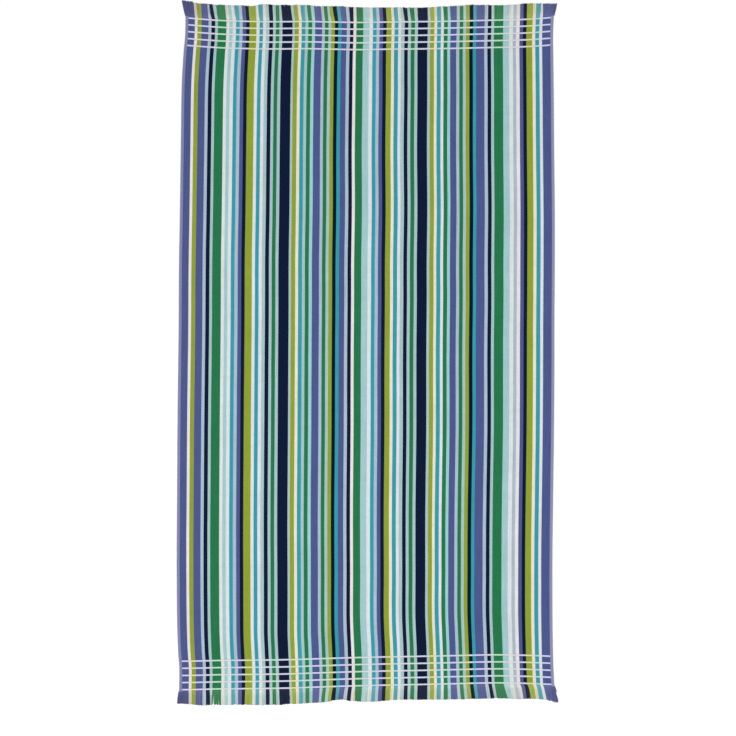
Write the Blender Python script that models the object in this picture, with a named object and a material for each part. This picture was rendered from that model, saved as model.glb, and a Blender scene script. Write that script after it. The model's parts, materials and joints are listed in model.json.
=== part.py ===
"""Beach towel lying flat: one striped velour cloth, with a fringe of cut warp yarns at each end.

X runs across the towel, Y along it and Z up. The towel lies on z = 0, with the origin in the
middle of its footprint. Lengths are metres, and MM turns the millimetres of the tables into them.
"""
import math
import random
from bisect import bisect_right
from collections import namedtuple

import bmesh
import bpy

MM = 0.001

# Cloth: the cut pile, the flat-woven cross lines and the turned side hems are three heights.
PILE_THICKNESS = 3.0 * MM
LINE_THICKNESS = 2.0 * MM
HEM_THICKNESS = 2.2 * MM
HEM_FOLD_THICKNESS = 1.4 * MM  # at the very edge, where the turned cloth rounds over
HEM_FOLD_WIDTH = 1.5 * MM
HEM_WIDTH = 7.0 * MM
PILE_SHOULDER = 1.2 * MM  # width over which the pile drops to a line or to the hem

# Cross lines near each end, counted inwards from the fringe.
LINES_PER_END = 5
LINE_WIDTH = 5.0 * MM
LINE_INSET = 4.5 * MM  # from the cloth's end edge to the middle of the first line

# Fringe: a narrow root strip just clear of the cloth, and locks of yarn that stand out of it.
LOCKS_PER_END = 140
PIECE_GAP = 0.3 * MM
ROOT_STRIP_WIDTH = 5.0 * MM
ROOT_STRIP_THICKNESS = 1.6 * MM
LOCK_GAP = 1.1 * MM
LOCK_CREST_INSET = 0.5 * MM  # each side of a lock slopes in by this much towards its crest
LOCK_LENGTH_SPREAD = 1.2 * MM

# Spacing of the cloth's points away from the cross lines.
BODY_ROWS = 31
BODY_COLUMNS = 15

# One colour stands for all the stripes: blues, greens and white together, linear RGB.
VELOUR_COLOUR = (0.23, 0.34, 0.33)
VELOUR_ROUGHNESS = 0.95
YARN_COLOUR = (0.24, 0.32, 0.30)
YARN_ROUGHNESS = 0.9
SHARP_EDGE_DEG = 30

# Long edges of the cloth as it lies, in millimetres from the centre line.
Side = namedtuple("Side", "along left right")
SIDES = (
    Side(-866, -486, 482),
    Side(-804, -486, 479),
    Side(-763, -489, 478),
    Side(-680, -491, 477),
    Side(-515, -492, 477),
    Side(-350, -491, 479),
    Side(-185, -490, 481),
    Side(-20, -488, 482),
    Side(63, -487, 482),
    Side(228, -486, 483),
    Side(351, -484, 483),
    Side(560, -481, 481),
    Side(682, -480, 480),
    Side(764, -475, 480),
    Side(806, -471, 479),
    Side(869, -469, 481),
)

# Bow of the ends: how far the end edge and its lines rise towards the head, in millimetres.
Rise = namedtuple("Rise", "across rise")
HEAD_RISES = (
    Rise(-470, 12),
    Rise(-421, 8),
    Rise(-322, 4),
    Rise(-155, 3),
    Rise(-21, 0),
    Rise(137, 1),
    Rise(292, 5),
    Rise(410, 8),
    Rise(481, 13),
)
FOOT_RISES = (
    Rise(-486, -11),
    Rise(-390, -9),
    Rise(-253, -7),
    Rise(-155, -4),
    Rise(-23, 0),
    Rise(137, 4),
    Rise(328, 8),
    Rise(410, 7),
    Rise(482, 4),
)
BOW_REACH = 500 * MM  # the bow fades out this far from an end

# Fringe as it lies: sideways lean of the tips and reach from the cloth's end, in millimetres.
Lie = namedtuple("Lie", "across lean reach")
HEAD_LIES = (
    Lie(-469, -10, 41),
    Lie(-446, -4, 39),
    Lie(-400, -5, 35),
    Lie(-330, -2.5, 36),
    Lie(-270, -2, 39),
    Lie(-200, -1.5, 37),
    Lie(-150, -4, 36),
    Lie(-80, -6, 38),
    Lie(-40, -1, 36),
    Lie(0, 0, 34),
    Lie(105, -3, 33),
    Lie(180, 0, 34),
    Lie(300, 0, 37),
    Lie(345, -1, 36),
    Lie(410, 0, 35),
    Lie(450, 1, 36),
    Lie(481, 8, 35),
)
FOOT_LIES = (
    Lie(-486, -6, 32),
    Lie(-460, 0, 34),
    Lie(-425, 0, 36),
    Lie(-300, 0, 37),
    Lie(-140, 0, 35),
    Lie(-110, -4, 35),
    Lie(-85, -5, 31),
    Lie(-62, -4, 28),
    Lie(-45, -3.5, 33),
    Lie(-20, 0, 36),
    Lie(60, 0, 34),
    Lie(200, 0, 36),
    Lie(290, 1, 36),
    Lie(318, 6, 35),
    Lie(345, 7.5, 35),
    Lie(455, 6.5, 34),
    Lie(482, 10, 39),
)

# Soft low ridges where the cloth doesn't quite touch down, in millimetres and degrees from +X.
Ridge = namedtuple("Ridge", "across along turn half_length half_width lift")
RIDGES = (
    Ridge(30, 690, 0, 420, 75, 2.0),
    Ridge(-60, 530, 3, 300, 85, 1.6),
    Ridge(150, 370, 0, 330, 85, 2.6),
    Ridge(-250, 285, -6, 230, 80, 2.2),
    Ridge(-150, 15, 2, 320, 85, 1.8),
    Ridge(180, -85, -3, 260, 80, 1.6),
    Ridge(100, -350, 0, 330, 90, 1.8),
    Ridge(-80, -650, 2, 380, 75, 2.4),
)

# The two ends: which way each faces, where the cloth stops at its middle, and its lines' pitch.
End = namedtuple("End", "node facing cloth_end line_pitch rises lies seed")
HEAD = End("fringe_head", 1, 857 * MM, 17.5 * MM, HEAD_RISES, HEAD_LIES, 11)
FOOT = End("fringe_foot", -1, -864 * MM, 18.2 * MM, FOOT_RISES, FOOT_LIES, 23)

# A ring of a lock: place along its length, how much of the lean it has, and its height.
Ring = namedtuple("Ring", "along lean height")
LOCK_RINGS = (
    Ring(0.35, 0.20, 1.6 * MM),
    Ring(0.70, 0.58, 1.4 * MM),
    Ring(1.00, 1.00, 0.9 * MM),
)


def clear_scene():
    """Remove whatever objects the file opened with."""
    for item in list(bpy.data.objects):
        bpy.data.objects.remove(item, do_unlink=True)


def read_curve(rows, field, at):
    """Read one column of a millimetre table at a place in metres, on a smooth curve, in metres."""
    places = [row[0] * MM for row in rows]
    values = [getattr(row, field) * MM for row in rows]
    if at <= places[0]:
        return values[0]
    if at >= places[-1]:
        return values[-1]
    last = len(rows) - 1

    def slope(index):
        before = max(index - 1, 0)
        after = min(index + 1, last)
        return (values[after] - values[before]) / (places[after] - places[before])

    start = bisect_right(places, at) - 1
    span = places[start + 1] - places[start]
    t = (at - places[start]) / span
    return (
        values[start] * (1 + 2 * t) * (1 - t) ** 2
        + values[start + 1] * t * t * (3 - 2 * t)
        + slope(start) * span * t * (1 - t) ** 2
        - slope(start + 1) * span * t * t * (1 - t)
    )


def ease(share):
    """Smooth step from 0 to 1."""
    share = min(max(share, 0.0), 1.0)
    return share * share * (3 - 2 * share)


def bowed(across, station):
    """Where a point of a straight row really lies along the towel, once the ends' bows are in."""
    along = station
    for end in (HEAD, FOOT):
        share = ease(1 - abs(end.cloth_end - station) / BOW_REACH)
        along += share * read_curve(end.rises, "rise", across)
    return along


def lift(across, along):
    """Height of the cloth's underside over the surface it lies on."""
    height = 0.0
    for ridge in RIDGES:
        turn = math.radians(ridge.turn)
        dx = across - ridge.across * MM
        dy = along - ridge.along * MM
        run = (dx * math.cos(turn) + dy * math.sin(turn)) / (ridge.half_length * MM)
        side = (dy * math.cos(turn) - dx * math.sin(turn)) / (ridge.half_width * MM)
        height += ridge.lift * MM * ease(1 - abs(run)) * ease(1 - abs(side))
    return height


def line_rows(end):
    """Stations of the rows by one end, from its edge inwards, each with the cloth's thickness."""
    rows = [(0.0, LINE_THICKNESS)]
    half = LINE_WIDTH / 2
    for line in range(LINES_PER_END):
        middle = LINE_INSET + line * end.line_pitch
        if line > 0:
            rows.append((middle - half - PILE_SHOULDER, PILE_THICKNESS))
            rows.append((middle - half, LINE_THICKNESS))
        rows.append((middle + half, LINE_THICKNESS))
        rows.append((middle + half + PILE_SHOULDER, PILE_THICKNESS))
    return [(end.cloth_end - end.facing * inset, thickness) for inset, thickness in rows]


def cloth_rows():
    """All rows of the cloth from foot to head, each a station and a thickness."""
    foot = line_rows(FOOT)
    head = line_rows(HEAD)[::-1]
    start = foot[-1][0]
    step = (head[0][0] - start) / BODY_ROWS
    body = [(start + step * row, PILE_THICKNESS) for row in range(1, BODY_ROWS)]
    return foot + body + head


def cloth_columns(left, right):
    """Places across one row with the thickness there, from hem to hem."""
    hem = (
        (0.0, HEM_FOLD_THICKNESS),
        (HEM_FOLD_WIDTH, HEM_THICKNESS),
        (HEM_WIDTH, HEM_THICKNESS),
    )
    pile_inset = HEM_WIDTH + PILE_SHOULDER
    step = (right - left - 2 * pile_inset) / BODY_COLUMNS
    body = [(left + pile_inset + step * column, PILE_THICKNESS) for column in range(BODY_COLUMNS + 1)]
    left_hem = [(left + inset, thickness) for inset, thickness in hem]
    right_hem = [(right - inset, thickness) for inset, thickness in hem[::-1]]
    return left_hem + body + right_hem


def cloth_layers():
    """Upper and lower points of the cloth, row by row from foot to head."""
    upper, lower = [], []
    for station, row_thickness in cloth_rows():
        left = read_curve(SIDES, "left", station)
        right = read_curve(SIDES, "right", station)
        top, under = [], []
        for across, column_thickness in cloth_columns(left, right):
            along = bowed(across, station)
            height = lift(across, along)
            thickness = min(row_thickness, column_thickness)
            top.append((across, along, height + thickness))
            under.append((across, along, height))
        upper.append(top)
        lower.append(under)
    return upper, lower


def plain_material(name, colour, roughness):
    """A Principled material of one colour."""
    material = bpy.data.materials.new(name)
    material.use_nodes = True
    shader = material.node_tree.nodes["Principled BSDF"]
    shader.inputs["Base Color"].default_value = (*colour, 1.0)
    shader.inputs["Roughness"].default_value = roughness
    shader.inputs["Metallic"].default_value = 0.0
    return material


def place_object(name, shape, material):
    """Turn a closed bmesh into a named object of the scene, with its faces pointing out."""
    bmesh.ops.recalc_face_normals(shape, faces=shape.faces[:])
    mesh = bpy.data.meshes.new(name)
    shape.to_mesh(mesh)
    shape.free()
    mesh.materials.append(material)
    mesh.shade_smooth()
    mesh.set_sharp_from_angle(angle=math.radians(SHARP_EDGE_DEG))
    item = bpy.data.objects.new(name, mesh)
    bpy.context.scene.collection.objects.link(item)
    return item


def make_cloth(upper, lower):
    """The cloth as one closed sheet: two layers of points joined round their rim."""
    shape = bmesh.new()
    top = [[shape.verts.new(point) for point in row] for row in upper]
    under = [[shape.verts.new(point) for point in row] for row in lower]
    last_row = len(top) - 1
    last_column = len(top[0]) - 1
    for row in range(last_row):
        for column in range(last_column):
            for layer in (top, under):
                near = layer[row][column : column + 2]
                far = layer[row + 1][column : column + 2]
                shape.faces.new((*near, *far[::-1]))
        for column in (0, last_column):
            side = (top[row][column], top[row + 1][column])
            shape.faces.new((*side, under[row + 1][column], under[row][column]))
    for column in range(last_column):
        for row in (0, last_row):
            side = (top[row][column], top[row][column + 1])
            shape.faces.new((*side, under[row][column + 1], under[row][column]))
    material = plain_material("velour", VELOUR_COLOUR, VELOUR_ROUGHNESS)
    return place_object("towel_cloth", shape, material)


def on_edge(edge, across):
    """Place along the towel of a cloth's end edge, read straight between its points."""
    for near, far in zip(edge, edge[1:]):
        if across <= far[0]:
            share = (across - near[0]) / (far[0] - near[0])
            return near[1] + share * (far[1] - near[1])
    return edge[-1][1]


def pair(shape, across, along, height, inset=0.0):
    """A lower point on the surface and an upper point over it, the upper one moved sideways."""
    return shape.verts.new((across, along, 0.0)), shape.verts.new((across + inset, along, height))


def lock_rings(shape, end, edge, bounds, root, spread):
    """The rings of one lock past its root, each as lower left, lower right, upper right, upper left."""
    rings = [root]
    start = PIECE_GAP + ROOT_STRIP_WIDTH
    for ring in LOCK_RINGS:
        corners = []
        for across, inward in ((bounds[0], 1), (bounds[1], -1)):
            lean = read_curve(end.lies, "lean", across) * ring.lean
            reach = read_curve(end.lies, "reach", across) + spread
            out = start + (reach - start) * ring.along
            place = across + lean + inward * LOCK_GAP / 2
            along = on_edge(edge, across) + end.facing * out
            corners.append(pair(shape, place, along, ring.height, inward * LOCK_CREST_INSET))
        (low_left, high_left), (low_right, high_right) = corners
        rings.append((low_left, low_right, high_right, high_left))
    return rings


def make_fringe(end, edge):
    """One end's fringe: locks that stand apart, fused at their roots into a strip by the cloth's edge."""
    shape = bmesh.new()
    spreads = random.Random(end.seed)
    width = edge[-1][0] - edge[0][0]
    bounds = [edge[0][0] + width * step / LOCKS_PER_END for step in range(LOCKS_PER_END + 1)]
    inner, outer = [], []
    for across in bounds:
        along = on_edge(edge, across) + end.facing * PIECE_GAP
        inner.append(pair(shape, across, along, ROOT_STRIP_THICKNESS))
    for lock in range(LOCKS_PER_END):
        for across in (bounds[lock] + LOCK_GAP / 2, bounds[lock + 1] - LOCK_GAP / 2):
            along = on_edge(edge, across) + end.facing * (PIECE_GAP + ROOT_STRIP_WIDTH)
            outer.append(pair(shape, across, along, ROOT_STRIP_THICKNESS))

    for lock in range(LOCKS_PER_END):
        near, far = inner[lock], inner[lock + 1]
        left, right = outer[2 * lock], outer[2 * lock + 1]
        shape.faces.new((near[0], far[0], far[1], near[1]))
        for layer in (0, 1):
            shape.faces.new((near[layer], far[layer], right[layer], left[layer]))
        if lock + 1 < LOCKS_PER_END:
            following = outer[2 * lock + 2]
            shape.faces.new((right[0], following[0], following[1], right[1]))
            for layer in (0, 1):
                shape.faces.new((far[layer], following[layer], right[layer]))
        root = (left[0], right[0], right[1], left[1])
        spread = spreads.uniform(-1, 1) * LOCK_LENGTH_SPREAD
        rings = lock_rings(shape, end, edge, bounds[lock : lock + 2], root, spread)
        for back, front in zip(rings, rings[1:]):
            for corner in range(4):
                turn = (corner + 1) % 4
                shape.faces.new((back[corner], back[turn], front[turn], front[corner]))
        shape.faces.new(rings[-1])
    for rim, side in ((inner[0], outer[0]), (inner[-1], outer[-1])):
        shape.faces.new((rim[0], side[0], side[1], rim[1]))
    material = plain_material(end.node + "_yarn", YARN_COLOUR, YARN_ROUGHNESS)
    return place_object(end.node, shape, material)


def main():
    """Build the towel's three pieces."""
    clear_scene()
    upper, lower = cloth_layers()
    make_cloth(upper, lower)
    make_fringe(HEAD, lower[-1])
    make_fringe(FOOT, lower[0])


main()
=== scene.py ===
"""Looks of a striped velour beach towel that lies flat, fringed at both ends.

X runs across the towel, Y along it and Z up, as in its frame. Lengths are metres, and MM turns the
millimetres of the tables into them.
"""
import json
import math
from bisect import bisect_right
from collections import namedtuple
from functools import lru_cache

import bpy
import numpy as np
from bpy.props import FloatProperty, FloatVectorProperty, IntProperty, PointerProperty
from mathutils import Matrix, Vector, noise

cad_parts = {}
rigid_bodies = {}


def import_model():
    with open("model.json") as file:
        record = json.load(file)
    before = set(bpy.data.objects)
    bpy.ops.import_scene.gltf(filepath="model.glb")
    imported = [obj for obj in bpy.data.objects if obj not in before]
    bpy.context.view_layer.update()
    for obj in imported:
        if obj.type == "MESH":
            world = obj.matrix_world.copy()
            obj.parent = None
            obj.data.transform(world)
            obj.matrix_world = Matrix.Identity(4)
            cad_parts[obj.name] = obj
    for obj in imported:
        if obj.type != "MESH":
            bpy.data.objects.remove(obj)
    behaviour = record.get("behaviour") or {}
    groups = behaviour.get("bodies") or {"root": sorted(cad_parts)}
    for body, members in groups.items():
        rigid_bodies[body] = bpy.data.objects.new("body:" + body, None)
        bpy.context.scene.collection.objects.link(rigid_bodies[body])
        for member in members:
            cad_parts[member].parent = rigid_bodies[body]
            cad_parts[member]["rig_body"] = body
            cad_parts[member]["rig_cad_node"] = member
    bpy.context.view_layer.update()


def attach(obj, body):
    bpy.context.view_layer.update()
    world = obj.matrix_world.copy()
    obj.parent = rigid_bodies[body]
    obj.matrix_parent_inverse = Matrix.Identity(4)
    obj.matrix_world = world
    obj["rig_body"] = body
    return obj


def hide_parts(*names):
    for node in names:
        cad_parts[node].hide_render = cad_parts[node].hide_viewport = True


bl_info = {
    "name": "Striped beach towel",
    "version": (1, 0, 0),
    "blender": (4, 5, 0),
    "location": "3D View > Sidebar > Towel",
    "description": "Makes a striped velour beach towel with cross lines and fringes",
    "category": "Add Mesh",
}

MM = 0.001
UV_NAME = "weave"  # across the cloth from its left edge, and along it, both in metres

for start_object in list(bpy.data.objects):
    bpy.data.objects.remove(start_object, do_unlink=True)
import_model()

# ---------------------------------------------------------------------------------------------
# The cloth as it lies. Its solids follow the same rules, with tables that are within 1.7 mm of these
# for the cloth, and within 6 mm for the fringes, but for the shorter yarns of the foot's right corner.


def rows_of(kind, *rows):
    """A table: rows of the same kind, whose fields have names."""
    return tuple(kind(*row) for row in rows)


Side = namedtuple("Side", "along left right")
SIDES = rows_of(
    Side,
    (-866, -486, 482), (-804, -485.3, 479), (-763, -488.3, 478), (-680, -491, 477),
    (-515, -492, 477), (-350, -491, 479), (-185, -490, 481), (-20, -488, 482), (63, -487, 482),
    (228, -486, 483), (351, -484, 483), (560, -481, 481), (682, -479, 480), (764, -474.3, 479),
    (806, -470.3, 478.6), (869, -469, 481),
)

Rise = namedtuple("Rise", "across rise")
HEAD_RISES = rows_of(
    Rise,
    (-470, 12), (-421, 7.9), (-377, 4.9), (-322, 3.0), (-270, 1.8), (-215, 1.8), (-155, 2.5),
    (-90, 1.0), (-21, -0.1), (52, 0.9), (120, 1.7), (200, 2.8), (292, 5.0), (410, 8), (481, 13),
)
FOOT_RISES = rows_of(
    Rise,
    (-486, -10), (-436, -9.3), (-390, -8.0), (-330, -7.4), (-253, -6.5), (-191, -5.4), (-155, -4),
    (-95, -1.9), (-23, 0.3), (54, 2.0), (137, 3.6), (219, 5.4), (328, 7.7), (410, 6.4), (482, 3.4),
)
BOW_REACH = 500 * MM

Lie = namedtuple("Lie", "across lean reach bend", defaults=(0.8,))  # a low bend leans at once
HEAD_LIES = rows_of(
    Lie,
    (-469, -10, 40), (-458, -5, 39), (-446, -4, 38), (-445, -4, 35.8), (-435, -4, 35.4),
    (-428, -1.6, 35.5), (-409, -3.4, 36.4), (-403, -5.7, 36.4), (-393, -6.8, 35.8),
    (-383, -4.1, 34.7), (-362, -4.1, 35.9), (-337, -5.2, 36.1), (-329, -3.2, 36),
    (-303, -3.0, 34.7), (-296, -2.8, 34), (-285, -2.6, 36.2), (-276, -4.3, 38.7),
    (-269, -1.8, 40.8), (-250, -2.5, 40.1), (-242, -2.5, 39), (-233, -0.8, 38), (-224, -1.8, 38.4),
    (-216, -4.6, 39.1), (-202.5, -5.5, 38.6), (-202, -4.5, 38.6), (-192, -5.8, 37.5),
    (-184, -3.3, 37.5), (-175, -5.0, 38.5), (-166, -4.0, 37.4), (-159, -2.3, 36.6),
    (-149, -4.9, 36.8), (-133, -3.4, 35.6), (-115, -4.3, 34.9), (-98, -4.5, 36), (-89, -7.1, 36),
    (-81, -6.2, 36.2), (-65, -4.2, 36.1), (-51, -3.7, 34.7), (-42, -2.0, 34.6), (-34, -0.7, 34.4),
    (-8, -1.4, 33.7), (25, -2.1, 32.9), (51, -2.6, 33), (64, -2.4, 32.6), (73, -3.5, 32.6),
    (84, -3.3, 32.5), (99, -5.4, 32.2), (107, -3.4, 31.6), (116, -5.8, 31.2), (125, -1.9, 31.3),
    (133, -2.4, 31.4), (157, -1.2, 31.5), (175, -1.0, 32.5), (200, -2.6, 33.4), (208, -1.2, 33.6),
    (218, -2.0, 34), (231, -0.3, 34.3), (250, -0.2, 35.7), (300, 0.3, 35.2), (328, 0.3, 33.4),
    (350, 0.5, 33.3), (385, 0.7, 34.2), (411, 0.7, 36), (430, 1.4, 34.8), (447, 3.4, 33.3),
    (455, 0.9, 32.8), (481, 9.2, 30.5, 0.6),
)
FOOT_LIES = rows_of(
    Lie,
    (-486, -5.5, 30.5, 0.45), (-460, 0, 32.3, 0.6), (-445, -0.7, 34.9), (-424, -0.3, 36.3),
    (-405.6, 1.2, 35.6), (-401, -1.5, 35.8), (-398.5, -4.2, 35.9), (-395.5, -4.6, 36.2),
    (-394.7, -0.8, 36.2), (-389, -2.9, 36.2), (-388.4, -1.1, 36.2), (-382.6, -2.2, 36.4),
    (-382, 0, 36.4), (-376, -0.6, 36.6), (-368, 0.3, 36.8), (-342, 0.3, 35.9), (-324, 0, 36.1),
    (-313, -1.8, 36.3), (-296, -0.4, 37.1), (-270, -0.1, 38.1), (-245, 0.6, 37.3),
    (-224.5, 1.6, 38.2), (-212, 2, 36), (-200, 2.4, 35.9), (-190, 1, 36.2), (-166, 0.6, 36),
    (-150, 0.2, 35.1), (-140, -0.3, 35.1), (-124, -2.2, 35.7), (-112.5, -3.5, 35.2),
    (-104.7, -4.1, 34.4), (-96, -3.3, 33.2), (-88, -5.8, 31.5), (-80, -2.8, 30.4),
    (-68, -4.5, 29.7), (-55, -5.4, 30), (-46, -4.7, 32.6), (-38.5, -3.9, 34.5), (-30, 0.2, 34.9),
    (-12, -3.2, 36.1), (8, -2.8, 37.9), (25, -2.0, 37.1), (42, -2.0, 35.4), (60, -2.3, 34.5),
    (104, -1.5, 33.6), (135, -1.0, 34.4), (172, -0.6, 34.6), (192, -0.2, 36.4), (205, 0.3, 35.3),
    (230, 2.6, 35.4, 0.9), (244, 3.4, 35.9, 0.9), (262, 4.3, 34.9, 0.9), (290, 5.5, 35.6, 1.0),
    (314, 6.3, 35.3, 1.0), (323, 7.3, 35.1, 1.1), (331, 6.9, 35, 1.1), (353, 10.6, 35.3, 1.1),
    (373, 6.5, 35.8, 0.8), (384, 7.6, 36.2, 0.7), (397, 8.5, 35, 0.6), (405, 7.6, 34.5, 0.55),
    (414, 9.2, 34.2, 0.55), (430, 7.2, 34.3, 0.6), (447, 8.4, 35, 0.7), (455, 9.0, 35.6),
    (459.5, 9.4, 38), (463, 10.2, 36.6), (465, 10.9, 38.5, 0.75), (477.4, 14.9, 38.2, 0.7),
    (477.6, 8.3, 17.5, 0.6), (482, 7.3, 15.5, 0.6),
)

Ridge = namedtuple("Ridge", "across along turn half_length half_width lift")
RIDGES = rows_of(
    Ridge,
    (30, 690, 0, 420, 75, 2.0), (-60, 530, 3, 300, 85, 1.6), (150, 370, 0, 330, 85, 2.6),
    (-250, 285, -6, 230, 80, 2.2), (-150, 15, 2, 320, 85, 1.8), (180, -85, -3, 260, 80, 1.6),
    (100, -350, 0, 330, 90, 1.8), (-80, -650, 2, 380, 75, 2.4),
)

End = namedtuple("End", "node name facing cloth_end line_pitch rises lies seed")
HEAD = End("fringe_head", "head", 1, 857 * MM, 17.5 * MM, HEAD_RISES, HEAD_LIES, 11)
FOOT = End("fringe_foot", "foot", -1, -864 * MM, 18.2 * MM, FOOT_RISES, FOOT_LIES, 23)
ENDS = (HEAD, FOOT)

LINES_PER_END = 5
LINE_WIDTH = 4.2 * MM
LINE_INSET = 5.1 * MM  # from the cloth's end edge to the middle of its first line

# How far the stripes inside wander from straight, in millimetres, at three places across.
Drift = namedtuple("Drift", "along quarter middle far")
DRIFTS = rows_of(
    Drift,
    (-840, 2.3, 2.9, 1.8), (-803, 2.0, 3.4, 2.1), (-760, 2.6, 4.1, 2.1), (-720, 2.2, 3.1, 1.3),
    (-670, 3.2, 2.4, 0.3), (-562, 3.6, 3.3, 0.8), (-381, 2.4, 1.8, 0.2), (-200, 2.2, 1.6, 0.9),
    (-20, 1.3, 0.2, -0.5), (135, 1.0, 0.4, 0.2), (233, 0.5, -0.1, -0.7), (377, 0.8, 0.7, 0.0),
    (522, 1.0, -0.3, -0.3), (666, 1.3, 0.9, 0.4), (730, 1.1, 0.1, 0.0), (774, 0.7, -0.6, -0.4),
    (812, -0.1, -1.1, -0.3), (850, -0.5, -1.6, -0.8),
)
DRIFT_PLACES = (0.0, 0.28, 0.52, 0.80, 1.0)  # shares of the width; the edges don't wander

# Warp plan: the stripes from the left edge to the right one, with their widths in millimetres.
WARP_PLAN = (
    # left edge
    ("hem_left", 7.5), ("periwinkle", 17), ("pink_white", 7.5), ("lime", 10.5), ("periwinkle", 18),
    ("pale_blue", 8.5),
    # first repeat
    ("navy", 9), ("grey_aqua", 7.5), ("green", 22), ("white", 8.5), ("aqua", 8.5), ("white", 9),
    ("turquoise", 9), ("pale_blue", 8.5), ("periwinkle", 9.5), ("navy", 8), ("lime", 18.5),
    ("white", 8.5), ("turquoise", 9), ("white", 8), ("grey_aqua", 9), ("navy", 9), ("grey_aqua", 8),
    ("green", 9), ("grey_aqua", 8.5), ("navy", 25.5), ("grey_aqua", 6.5), ("lime", 10.5),
    ("cream", 8), ("turquoise", 9.5), ("grey_aqua", 8), ("green", 9.5), ("bright_aqua", 8.5),
    ("periwinkle", 18), ("pale_blue", 8), ("green", 9), ("grey_aqua", 8), ("lime", 9.5),
    ("black_navy", 8), ("turquoise", 9.5), ("periwinkle", 13.5), ("pale_blue", 9),
    # second repeat
    ("navy", 8.5), ("pink_white", 8.5), ("green", 17.5), ("aqua", 16.5), ("white", 9.5),
    ("turquoise", 9), ("pale_blue", 8.5), ("periwinkle", 9.5), ("navy", 8), ("lime", 13.5),
    ("cream", 8), ("turquoise", 10), ("white", 7.5), ("grey_aqua", 9.5), ("navy", 8.5),
    ("grey_aqua", 8), ("green", 9.5), ("grey_aqua", 8.5), ("navy", 25), ("grey_aqua", 7.5),
    ("lime", 10), ("cream", 7.5), ("turquoise", 10), ("white", 8), ("green", 9.5),
    ("bright_aqua", 8), ("periwinkle", 15.5), ("pale_blue", 8), ("green", 9), ("grey_aqua", 8),
    ("lime", 9.5), ("black_navy", 8.5), ("turquoise", 9), ("periwinkle", 21), ("pale_blue", 9),
    # start of a third repeat, and the right edge
    ("navy", 8.5), ("grey_aqua", 8), ("green", 23.5), ("aqua", 16), ("white", 10),
    ("blue_grey", 8.5), ("pink_white", 9), ("periwinkle", 9.5), ("navy", 8), ("lime", 15.5),
    ("cream", 8.5), ("turquoise", 10), ("white", 8), ("periwinkle", 21.5), ("hem_right", 7.5),
)
PLAN_WIDTH = sum(width for _, width in WARP_PLAN) * MM
LEFT_HEM = WARP_PLAN[0][1] * MM
RIGHT_HEM = WARP_PLAN[-1][1] * MM

# Heights of the cloth's top, from its underside.
PILE_TOP = 3.0 * MM
GROOVE_TOP = 1.9 * MM  # under the weft yarns of a cross line
HEM_TOP = 2.2 * MM
END_TOP = 0.9 * MM  # at the very end, where the fringe yarns leave the cloth
HEM_END_EXTRA = 0.5 * MM  # how much higher than that the double hem ends
FOLD_RADIUS = 0.8 * MM
PILE_SHOULDER = 1.3 * MM
CELL_DOME = 0.2 * MM

# The groove that a hem's stitches pull in, measured from the hem's inner edge.
SEAM_INSET = 1.6 * MM
SEAM_HALF_WIDTH = 0.9 * MM
SEAM_DEPTH = 0.35 * MM

BODY_ROW_STEP = 9.5 * MM
BODY_COLUMN_STEP = 8.0 * MM
CELL_ROWS = 4
ROUNDING = 1e-6  # two lengths closer than this are the same

# Small waves of the cloth: waves to the metre, a place to read them at, and height in millimetres.
Waves = namedtuple("Waves", "across along level height")
SMALL_WAVES = (Waves(7, 6, 3.1, 0.45), Waves(23, 19, 8.4, 0.16))
WAVE_MIDDLE = 0.55  # added to a noise that swings round 0, so that it is seldom under 0
UNDERSIDE_WAVES = 0.6  # how much of the waves the underside has


def ease(share):
    """Smooth step from 0 to 1."""
    share = min(max(share, 0.0), 1.0)
    return share * share * (3 - 2 * share)


def evenly(start, stop, steps):
    """Places from one to another, that many steps apart."""
    return [start + (stop - start) * step / steps for step in range(steps + 1)]


@lru_cache(maxsize=None)
def curve_of(rows, field):
    """Places, values and slopes of one column of a millimetre table, in metres."""
    places = [row[0] * MM for row in rows]
    values = [getattr(row, field) * MM for row in rows]
    last = len(rows) - 1
    slopes = []
    for index in range(last + 1):
        before = max(index - 1, 0)
        after = min(index + 1, last)
        slopes.append((values[after] - values[before]) / (places[after] - places[before]))
    return places, values, slopes


def read_curve(rows, field, at):
    """Read one column of a millimetre table at a place in metres, on a smooth curve, in metres."""
    places, values, slopes = curve_of(rows, field)
    if at <= places[0]:
        return values[0]
    if at >= places[-1]:
        return values[-1]
    start = bisect_right(places, at) - 1
    span = places[start + 1] - places[start]
    t = (at - places[start]) / span
    return (
        values[start] * (1 + 2 * t) * (1 - t) ** 2
        + values[start + 1] * t * t * (3 - 2 * t)
        + slopes[start] * span * t * (1 - t) ** 2
        - slopes[start + 1] * span * t * t * (1 - t)
    )


def bowed(across, station):
    """Where a point of a straight row really lies along the towel, once the ends' bows are in."""
    along = station
    for end in ENDS:
        share = ease(1 - abs(end.cloth_end - station) / BOW_REACH)
        if share > 0:
            along += share * read_curve(end.rises, "rise", across)
    return along


def lift(across, along):
    """Height of the cloth's underside over the surface it lies on."""
    height = 0.0
    for ridge in RIDGES:
        turn = math.radians(ridge.turn)
        dx = across - ridge.across * MM
        dy = along - ridge.along * MM
        run = (dx * math.cos(turn) + dy * math.sin(turn)) / (ridge.half_length * MM)
        side = (dy * math.cos(turn) - dx * math.sin(turn)) / (ridge.half_width * MM)
        height += ridge.lift * MM * ease(1 - abs(run)) * ease(1 - abs(side))
    return height


def wander(share, station):
    """How far a stripe at a share of the width lies from its straight place."""
    amounts = [0.0] + [read_curve(DRIFTS, field, station) for field in Drift._fields[1:]] + [0.0]
    start = min(bisect_right(DRIFT_PLACES, share), len(DRIFT_PLACES) - 1) - 1
    near, far = DRIFT_PLACES[start], DRIFT_PLACES[start + 1]
    t = ease((share - near) / (far - near))
    return amounts[start] + t * (amounts[start + 1] - amounts[start])


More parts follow.
